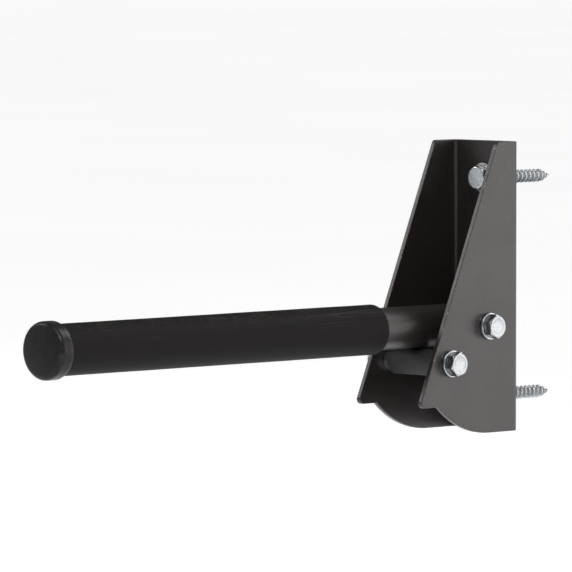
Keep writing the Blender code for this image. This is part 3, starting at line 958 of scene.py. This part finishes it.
print("across the corners:", round(2 * hexagon(math.radians(30), 0) / MM, 2), "mm")

# %% A head on its shank
HEAD_HEIGHT = 5.3 * MM
SHANK = 4.0 * MM
BOLT_PITCH = 1.25 * MM
LAG_PITCH = 3.6 * MM
STEPS_A_TURN = 40
# from the middle of a dished face outward: millimetres, and the share of the full dish
DISH_CURVE = ((2.0, 1.0), (3.4, 0.93), (4.2, 0.6), (4.9, 0.12), (5.3, 0.0))


def head_rings(spot, turned_by, dish=0.0):
    """From the middle of the head's face, over its side, to the top of the shank."""
    rings = [[(spot(0, 0, HEAD_HEIGHT - dish), 0, 0)]]
    for radius, depth in DISH_CURVE:
        rings.append(round_ring(spot, turned_by, radius * MM, HEAD_HEIGHT - dish * depth))
    rings += chamfered_end(spot, turned_by, HEAD_HEIGHT, 1)
    rings.append(hex_ring(spot, turned_by, lambda side: (side, 0.5 * MM)))
    rings.append(hex_ring(spot, turned_by, lambda side: (side, 0.12 * MM), 0.4, 0.6))
    rings.append(hex_ring(spot, turned_by, lambda side: (side - 0.12 * MM, 0), 0.4, 1.0))
    rings.append(round_ring(spot, turned_by, SHANK + 0.5 * MM, 0, 0, 1.0))
    rings.append(round_ring(spot, turned_by, SHANK + 0.1 * MM, -0.1 * MM, 0, 1.0))
    rings.append(round_ring(spot, turned_by, SHANK, -0.5 * MM, 0, 0.5))
    return rings


def wind_thread(shape, spot, start, end, pitch, core, crest, flank):
    """Wind a ridge round a core, and let both of its ends run out.

    core and crest give their radius at a height. A ridge one high is two flanks wide at its foot,
    so it grows thin where it runs out and over the point.
    """
    steps = round(abs(end - start) / pitch * STEPS_A_TURN)
    rings = []
    for step in range(steps + 1):
        height = start + (end - start) * step / steps
        angle = math.tau * step / STEPS_A_TURN
        root = core(height)
        tip = root + (crest(height) - root) * min(1.0, step / 30, (steps - step) / 20)
        foot = max(root - 0.2 * MM, 0.05 * MM)
        reach = flank * (tip - foot)
        rings.append([
            (spot(foot, angle, height - reach), 0.0, 1.0),
            (spot(tip, angle, height - 0.05 * MM), 1.0, 0.0),
            (spot(tip, angle, height + 0.05 * MM), 1.0, 0.0),
            (spot(foot, angle, height + reach), 0.0, 1.0),
        ])
    skin(shape, rings, capped=True)


print("a turn of thread rises", [round(pitch / MM, 2) for pitch in (BOLT_PITCH, LAG_PITCH)], "mm")

# %% [markdown]
# ## The lag screws
#
# Two 8 mm lag screws hold the channel on the stud. Their upper stretch is plain, and below it a coarse thread
# stands on a thinner core and runs out over a point that starts its own hole. A picture of a thread as relief
# would be enough from the front. But the screws stand out behind the channel, where they can be seen from the
# side, so the thread is a real ridge. It is one narrow wedge, wound round the core.

# %% Make the lag screws
LAG_LENGTH = 60.0 * MM
LAG_POINT = 9.0 * MM
LAG_CORE = 2.8 * MM
LAG_PLAIN = 20.0 * MM


def lag_taper(height):
    """1 down to the point, then falling to 0 at its tip."""
    return min(1.0, max(0.0, (LAG_LENGTH + height) / LAG_POINT))


def lag_screw(node, turned_by):
    low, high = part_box(node)
    spot = along((0, -1, 0), (0, low.y + HEAD_HEIGHT, (low.z + high.z) / 2))
    shape = new_shape()
    rings = head_rings(spot, turned_by)
    rings.append(round_ring(spot, turned_by, SHANK, -LAG_PLAIN, 0.4))
    rings.append(round_ring(spot, turned_by, LAG_CORE, -LAG_PLAIN - 1.6 * MM, 0, 0.8))
    rings.append(round_ring(spot, turned_by, LAG_CORE, LAG_POINT - LAG_LENGTH, 0, 0.5))
    rings.append(round_ring(spot, turned_by, LAG_CORE * 0.5, LAG_POINT * 0.5 - LAG_LENGTH, 0, 0.5))
    rings.append([(spot(0, 0, -LAG_LENGTH), 1, 0)])
    skin(shape, rings)
    wind_thread(
        shape, spot, -LAG_PLAIN - 0.8 * MM, 0.6 * MM - LAG_LENGTH, LAG_PITCH,
        core=lambda height: LAG_CORE * lag_taper(height),
        crest=lambda height: (SHANK - 0.3 * MM) * lag_taper(height) + 0.3 * MM,
        flank=0.6,
    )
    set_up(shape, node, node.replace("lag_screw", "lag_threaded"))


lag_screw("upper_lag_screw", 12)
lag_screw("lower_lag_screw", 41)

# %% [markdown]
# ## Bolts, lock nuts and washers
#
# Two equal cross bolts pass through both side plates, one for the hinge and one for the stop. The die that
# forges their heads leaves a shallow dish in the face, which shades it softly. Each is pulled up by a lock
# nut: at its outer end a thin collar is rolled inward over a nylon ring, which grips the thread so that the
# hinge can't shake loose. The ring is pressed in as a separate piece in the real nut, and it is a piece of
# its own here. The washers are punched, so their edges are round on one side and crisp on the other.

# %% Make the cross bolts
BOLT_CORE = 3.35 * MM
BOLT_THREADED = 18.0 * MM
TIP_RADIUS = 3.2 * MM


def cross_bolt(node, turned_by):
    low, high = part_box(node)
    seat = high.x - HEAD_HEIGHT
    length = seat - low.x
    spot = along((1, 0, 0), (seat, (low.y + high.y) / 2, (low.z + high.z) / 2))
    shape = new_shape()
    rings = head_rings(spot, turned_by, dish=0.30 * MM)
    rings.append(round_ring(spot, turned_by, SHANK, BOLT_THREADED - length + 0.8 * MM, 0.3))
    rings.append(round_ring(spot, turned_by, BOLT_CORE, BOLT_THREADED - length, 0, 0.8))
    rings.append(round_ring(spot, turned_by, BOLT_CORE, 0.3 * MM - length, 0.3, 0.4))
    rings.append(round_ring(spot, turned_by, TIP_RADIUS - 0.25 * MM, -length, 0.8))
    rings.append([(spot(0, 0, -length), 0, 0)])
    skin(shape, rings)
    wind_thread(
        shape, spot, BOLT_THREADED - length + 0.4 * MM, 0.75 * MM - length, BOLT_PITCH,
        core=lambda height: BOLT_CORE,
        crest=lambda height: min(SHANK, TIP_RADIUS + (height + length)),
        flank=0.7,
    )
    set_up(shape, node, node.replace("bolt", "bolt_threaded"))


cross_bolt("hinge_bolt", 8)
cross_bolt("stop_bolt", 47)

# %% Make the lock nuts and their nylon rings
NUT_BORE = 4.05 * MM
HEX_TOP = 5.8 * MM
RING_SEAT = 5.4 * MM
RING_OUTER = 5.3 * MM
RING_INNER = 3.93 * MM
RING_SUNK = 0.72 * MM
COLLAR = ROUND_FACE
COLLAR_ROUND = 0.9 * MM


def nut_spot(node):
    low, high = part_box(node)
    return along((-1, 0, 0), (high.x, (low.y + high.y) / 2, (low.z + high.z) / 2)), high.x - low.x


def lock_nut(node, turned_by):
    spot, height = nut_spot(node)
    rings = [
        round_ring(spot, turned_by, NUT_BORE, RING_SEAT, 0, 1.0),
        round_ring(spot, turned_by, NUT_BORE, 0.6 * MM, 0, 1.0),
        round_ring(spot, turned_by, NUT_BORE + 0.5 * MM, 0, 0.5, 0.6),
    ]
    rings += chamfered_end(spot, turned_by, 0, -1)
    rings += reversed(chamfered_end(spot, turned_by, HEX_TOP, 1)[2:])
    rings.append(round_ring(spot, turned_by, COLLAR + 0.02 * MM, HEX_TOP + 0.05 * MM, 0, 1.0))
    rings.append(round_ring(spot, turned_by, COLLAR, HEX_TOP + 0.3 * MM, 0, 0.4))
    for step in range(7):
        angle = math.radians(90 * step / 6)
        radius = COLLAR - COLLAR_ROUND * (1 - math.cos(angle))
        level = height - COLLAR_ROUND * (1 - math.sin(angle))
        rings.append(round_ring(spot, turned_by, radius, level, 0.3 + 0.7 * math.sin(2 * angle)))
    rings.append(round_ring(spot, turned_by, COLLAR - 1.15 * MM, height - 0.06 * MM, 0.8))
    rings.append(round_ring(spot, turned_by, COLLAR - 1.25 * MM, height - 0.25 * MM, 0.3, 0.5))
    rings.append(round_ring(spot, turned_by, RING_OUTER + 0.05 * MM, height - 0.7 * MM, 0, 1.0))
    rings.append(round_ring(spot, turned_by, RING_OUTER + 0.05 * MM, RING_SEAT, 0, 1.0))
    shape = new_shape()
    skin(shape, rings, joined=True)
    set_up(shape, node, node.replace("lock_nut", "nut_body"))


def nylon_ring(node):
    spot, height = nut_spot(node)
    corners = [
        (RING_OUTER, 5.45 * MM, 0.1 * MM),
        (RING_OUTER, height - RING_SUNK, 0.12 * MM),
        (RING_INNER, height - RING_SUNK, 0.25 * MM),
        (RING_INNER, 5.45 * MM, 0.1 * MM),
    ]
    shape = new_shape()
    turned(shape, rounded(corners), spot, sides=72)
    set_up(shape, node, node.replace("lock_nut", "nut_ring"), slot="nylon", replaces=False)


for nut, nut_turn in (("hinge_lock_nut", 22), ("stop_lock_nut", 5)):
    lock_nut(nut, nut_turn)
    nylon_ring(nut)

# %% Punch the washers
def washer(node, axis, seat_side):
    """A punched washer. seat_side is the end of its box that it lies on, along its axis."""
    low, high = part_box(node)
    middle = (low + high) / 2
    number = 0 if axis[0] else 1
    thickness = high[number] - low[number]
    middle[number] = seat_side(low[number], high[number])
    radius = (high.z - low.z) / 2 - 0.01 * MM
    corners = [
        (radius, 0, 0.10 * MM),
        (radius, thickness, 0.35 * MM),
        (HOLE, thickness, 0.30 * MM),
        (HOLE, 0, 0.08 * MM),
    ]
    shape = new_shape()
    turned(shape, rounded(corners, hold=0.4 * MM), along(axis, middle))
    set_up(shape, node, node + "_punched")


for washer_node in ("hinge_head_washer", "stop_head_washer"):
    washer(washer_node, (1, 0, 0), min)
for washer_node in ("hinge_nut_washer", "stop_nut_washer"):
    washer(washer_node, (-1, 0, 0), max)
for washer_node in ("upper_lag_washer", "lower_lag_washer"):
    washer(washer_node, (0, -1, 0), max)

# %% [markdown]
# ## The arm's root
#
# The arm is a steel tube with a short cross tube, the barrel, welded through its root. The barrel turns on
# two flanged nylon bushes round the hinge bolt. A fitter first saws a round hole through both sides of the
# tube, pushes the barrel through and then welds round it, on the curved line where the two rounds meet. The
# hole is cut with a boolean, which is the nearest thing to a hole saw, and everything else is turned.

# %% Drill the tube for its barrel
tube_low, tube_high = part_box("arm_tube")
barrel_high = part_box("hinge_barrel")[1]
WALL = 2.0 * MM
TUBE = tube_high.x
TUBE_BORE = TUBE - WALL
BARREL = barrel_high.z
BARREL_BORE = BARREL - WALL
# the packed model leaves this much between pieces that touch
GAP = 0.3 * MM
SAW_REACH = 20 * MM
toward_room = along((0, -1, 0), (0, 0, 0))
across_hinge = along((1, 0, 0), PIVOT)


def drilled(shape, bit):
    """Cut one shape out of another and return what is left."""
    parts = []
    for part in (shape, bit):
        bmesh.ops.recalc_face_normals(part, faces=part.faces)
        mesh = bpy.data.meshes.new("on the drill")
        part.to_mesh(mesh)
        part.free()
        parts.append(bpy.data.objects.new("on the drill", mesh))
        bpy.context.scene.collection.objects.link(parts[-1])
    cut = parts[0].modifiers.new("hole", "BOOLEAN")
    cut.operation = "DIFFERENCE"
    cut.solver = "EXACT"
    cut.object = parts[1]
    bpy.context.view_layer.update()
    left = bpy.data.meshes.new_from_object(parts[0].evaluated_get(bpy.context.evaluated_depsgraph_get()))
    for part in parts:
        bpy.data.objects.remove(part)
    result = bmesh.new()
    result.from_mesh(left)
    return result


def arm_tube():
    corners = [
        (TUBE, -tube_high.y, 0.3 * MM),
        (TUBE, -tube_low.y, 0.3 * MM),
        (TUBE_BORE, -tube_low.y, 0.2 * MM),
        (TUBE_BORE, -tube_high.y, 0.2 * MM),
    ]
    tube = new_shape()
    turned(tube, rounded(corners), toward_room, sides=128)
    saw = new_shape()
    ends = [(0, -SAW_REACH), (BARREL, -SAW_REACH), (BARREL, SAW_REACH), (0, SAW_REACH)]
    turned(saw, [(*end, 0, 0) for end in ends], across_hinge, closed=False)
    set_up(drilled(tube, saw), "arm_tube", "welded_tube")


arm_tube()

# %% Turn the barrel and the bushes
FLANGE = 1.5 * MM


def hinge_barrel():
    half = barrel_high.x
    corners = [
        (BARREL, half, 0.35 * MM),
        (BARREL, -half, 0.35 * MM),
        (BARREL_BORE, -half, 0.3 * MM),
        (BARREL_BORE, half, 0.3 * MM),
    ]
    shape = new_shape()
    turned(shape, rounded(corners), across_hinge)
    set_up(shape, "hinge_barrel", "turned_barrel")


def hinge_bush(node, side):
    low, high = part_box(node)
    outside = max(abs(low.x), abs(high.x))
    inside = min(abs(low.x), abs(high.x))
    flange = outside - FLANGE
    corners = [
        (BARREL, outside, 0.3 * MM),
        (BARREL, flange, 0.2 * MM),
        (BARREL_BORE - GAP, flange, -0.2 * MM),
        (BARREL_BORE - GAP, inside, 0.3 * MM),
        (HOLE, inside, 0.2 * MM),
        (HOLE, outside, 0.35 * MM),
    ]
    shape = new_shape()
    turned(shape, rounded(corners, hold=0.3 * MM), along((side, 0, 0), PIVOT))
    set_up(shape, node, node + "_flanged")


hinge_barrel()
hinge_bush("hinge_bush_right", 1)
hinge_bush("hinge_bush_left", -1)

# %% [markdown]
# ## Two weld beads
#
# A fillet weld is laid in small overlapping pools, each a little behind the one before, and they freeze as
# ripples with curved fronts. A smooth ring round the joint would look like glue. So the bead is swept round
# that curved line with one short scallop for each pool, and the scallops lag at both toes of the weld, as the
# edges of a real pool freeze first. The legs wander a little, because it is welded by hand.

# %% Lay the beads
POOLS = 34
POOL_STEPS = 12
LEG = 3.0 * MM
# the toes are sunk this far into the tube and the barrel
SUNK = 0.08 * MM


def bead_ring(angle, side, seed):
    """One section across the bead, from its toe on the barrel to its toe on the tube."""
    out_of_barrel = Vector((0, math.cos(angle), math.sin(angle)))
    corner = BARREL * out_of_barrel
    corner.x = side * math.sqrt(TUBE ** 2 - corner.z ** 2)
    off_tube = Vector((corner.x, 0, corner.z)).normalized()
    over_tube = (out_of_barrel - off_tube * out_of_barrel.dot(off_tube)).normalized()
    along_barrel = Vector((side, 0, 0))
    away = (along_barrel + over_tube).normalized()
    wander = 0.25 * MM * noise.noise(Vector((2.2 * math.cos(angle), 2.2 * math.sin(angle), seed)))
    barrel_toe = corner + along_barrel * (LEG + wander) - out_of_barrel * SUNK
    tube_toe = corner + over_tube * (LEG - wander)
    flat = Vector((tube_toe.x, 0, tube_toe.z)).normalized() * (TUBE - SUNK)
    tube_toe = Vector((flat.x, tube_toe.y, flat.z))
    ring = []
    for step in range(11):
        across = step / 5 - 1
        pool = angle * POOLS / math.tau - 0.45 * across ** 2
        scallop = 1 - (2 * (pool % 1) - 1) ** 2
        bulge = (0.42 * MM + 0.22 * MM * scallop) * (1 - across ** 2) + 0.05 * MM * scallop
        place = barrel_toe.lerp(tube_toe, step / 10) + away * bulge
        ring.append((place + PIVOT, 0.0, max(abs(across) ** 6, 0.5 * (scallop < 0.25))))
    ring.append((corner - away * 0.5 * MM + PIVOT, 0.0, 0.0))
    return ring


def weld_bead(node, side, seed):
    steps = POOLS * POOL_STEPS
    shape = new_shape()
    skin(shape, [bead_ring(math.tau * step / steps, side, seed) for step in range(steps)], joined=True)
    set_up(shape, node, node + "_rippled")


weld_bead("weld_bead_right", 1, 3.1)
weld_bead("weld_bead_left", -1, 8.4)

# %% [markdown]
# ## The sleeve, the cap and the plug
#
# A rubber sleeve covers the arm from just outside the channel to its end, and a cap with a thicker rim is
# pushed into the tube so that nothing slides off. In the photograph the rim shows as a thin light arc round
# a dark face. All three are turned. Extruded rubber is never quite straight, so the sleeve's skin is moved
# in and out by a few hundredths of a millimetre, which bends the long highlight as it does on the real one.

# %% Turn the sleeve
sleeve_low, sleeve_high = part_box("arm_sleeve")
SLEEVE = sleeve_high.x


def arm_sleeve():
    corners = [
        (SLEEVE, -sleeve_high.y, 1.0 * MM),
        (SLEEVE, -sleeve_low.y, 1.0 * MM),
        (TUBE + GAP, -sleeve_low.y, 0.2 * MM),
        (TUBE + GAP, -sleeve_high.y, 0.2 * MM),
    ]
    shape = new_shape()
    turned(shape, divided(rounded(corners, steps=6, hold=1.5 * MM), 4 * MM), toward_room, sides=128)
    for vertex in shape.verts:
        out = Vector((vertex.co.x, 0, vertex.co.z))
        if out.length > TUBE + 1.5 * MM:
            slow = noise.noise(vertex.co * 45)
            quick = noise.noise(vertex.co * 160)
            vertex.co += out.normalized() * (0.06 * slow + 0.015 * quick) * MM
    set_up(shape, "arm_sleeve", "extruded_sleeve")


arm_sleeve()

# %% Mould the end cap
cap_low, cap_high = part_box("end_cap")
CAP = cap_high.x
CAP_FACE = -cap_low.y
CAP_BACK = CAP_FACE - 11.5 * MM
CAP_ROUND = 3.0 * MM
DOME = 66.0 * MM
STEM = 9.4 * MM
STEM_TIP = 8.9 * MM
RIB = 10.4 * MM
RIB_SLOPE = 4.3 * MM


def cap_profile():
    """From the middle of the face, over the rim, to the end of the ribbed plug inside the tube."""
    points = [(0, CAP_FACE - 0.16 * MM, 0, 0), (0.7 * MM, CAP_FACE - 0.17 * MM, 0.2, 0)]
    points += [(0.85 * MM, CAP_FACE - 0.30 * MM, 0, 1), (1.5 * MM, CAP_FACE - 0.30 * MM, 0, 1)]
    points += [(1.75 * MM, CAP_FACE - 0.06 * MM, 0.5, 0)]
    lean = math.acos((CAP - CAP_ROUND) / (DOME - CAP_ROUND))
    rim_level = CAP_FACE - DOME + (DOME - CAP_ROUND) * math.sin(lean)
    for step in range(1, 12):
        radius = 2 * MM + (DOME * math.cos(lean) - 2 * MM) * step / 11
        height = CAP_FACE - DOME + math.sqrt(DOME ** 2 - radius ** 2)
        points.append((radius, height, 0.4 * (step == 11), 0))
    for step in range(1, 11):
        angle = lean * (1 - step / 10)
        radius = CAP - CAP_ROUND + CAP_ROUND * math.cos(angle)
        worn = 0.4 + 0.6 * math.sin(math.pi * step / 10)
        points.append((radius, rim_level + CAP_ROUND * math.sin(angle), worn, 0))
    seam = CAP_BACK + 3.2 * MM
    for height, proud in ((0.14, 0.0), (0.06, 0.05), (-0.06, 0.05), (-0.14, 0.0)):
        points.append((CAP + proud * MM, seam + height * MM, 0.3, 0))
    points += [(CAP, CAP_BACK + 1.1 * MM, 0.3, 0), (CAP - 0.3 * MM, CAP_BACK + 0.35 * MM, 0.6, 0)]
    points += [(CAP - 1.0 * MM, CAP_BACK, 0, 0.5), (STEM, CAP_BACK, 0, 1)]
    for rib in range(3):
        level = CAP_BACK - (2.9 + 8.67 * rib) * MM
        points += [(STEM, level, 0, 1), (RIB, level, 1, 0), (STEM, level - RIB_SLOPE, 0, 1)]
    end = -cap_high.y
    return points + [(STEM, end + 0.5 * MM, 0, 0), (STEM_TIP, end, 0.6, 0), (0, end, 0, 0)]


cap_shape = new_shape()
turned(cap_shape, cap_profile(), toward_room, closed=False, sides=128)
set_up(cap_shape, "end_cap", "moulded_cap")

# %% Mould the root plug
plug_low, plug_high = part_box("root_plug")
PLUG_HEAD = 2.2 * MM


def root_plug():
    head = -plug_high.y
    under = head + PLUG_HEAD
    stem = TUBE_BORE - GAP
    corners = [
        (0, head, 0),
        (TUBE, head, 1.1 * MM),
        (TUBE, under, 0.2 * MM),
        (stem, under, -0.2 * MM),
        (stem, -plug_low.y, 0.6 * MM),
        (0, -plug_low.y, 0),
    ]
    shape = new_shape()
    turned(shape, rounded(corners, closed=False, steps=6), toward_room, closed=False)
    set_up(shape, "root_plug", "pushed_in_plug")


root_plug()

# %% [markdown]
# ## The stop
#
# The lowered arm lands on a rubber roller in front of the hinge. It is a plain ring of rubber on a steel
# spacer, and the second cross bolt pulls both side plates up against the spacer's ends. Rubber parts are
# trimmed from a longer tube, so their ends are flat and only the outer edge is slightly round.

# %% Turn the spacer and the rubber
RUBBER_BORE = 6.3 * MM


def stop_ring(node, name, bore, outer_round, bore_round):
    low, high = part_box(node)
    outer = (high.z - low.z) / 2
    corners = [
        (outer, high.x, outer_round),
        (outer, low.x, outer_round),
        (bore, low.x, bore_round),
        (bore, high.x, bore_round),
    ]
    shape = new_shape()
    turned(shape, rounded(corners), along((1, 0, 0), STOP))
    set_up(shape, node, name)


stop_ring("stop_spacer", "sawn_spacer", HOLE, 0.25 * MM, 0.25 * MM)
stop_ring("stop_bumper", "trimmed_rubber", RUBBER_BORE, 0.8 * MM, 0.2 * MM)

# %% [markdown]
# ## The two boxes
#
# The finished rack must be as large as the packed one. A look at the picture can't tell that to a tenth of a
# millimetre, so both boxes are printed side by side.

# %% Print both boxes
VISUAL_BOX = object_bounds()
boxes = {"cad": [list(corner) for corner in CAD_BOX], "visual": [list(corner) for corner in VISUAL_BOX]}
for box_name, (box_low, box_high) in boxes.items():
    print(box_name, [round((b - a) / MM, 2) for a, b in zip(box_low, box_high)], "mm")
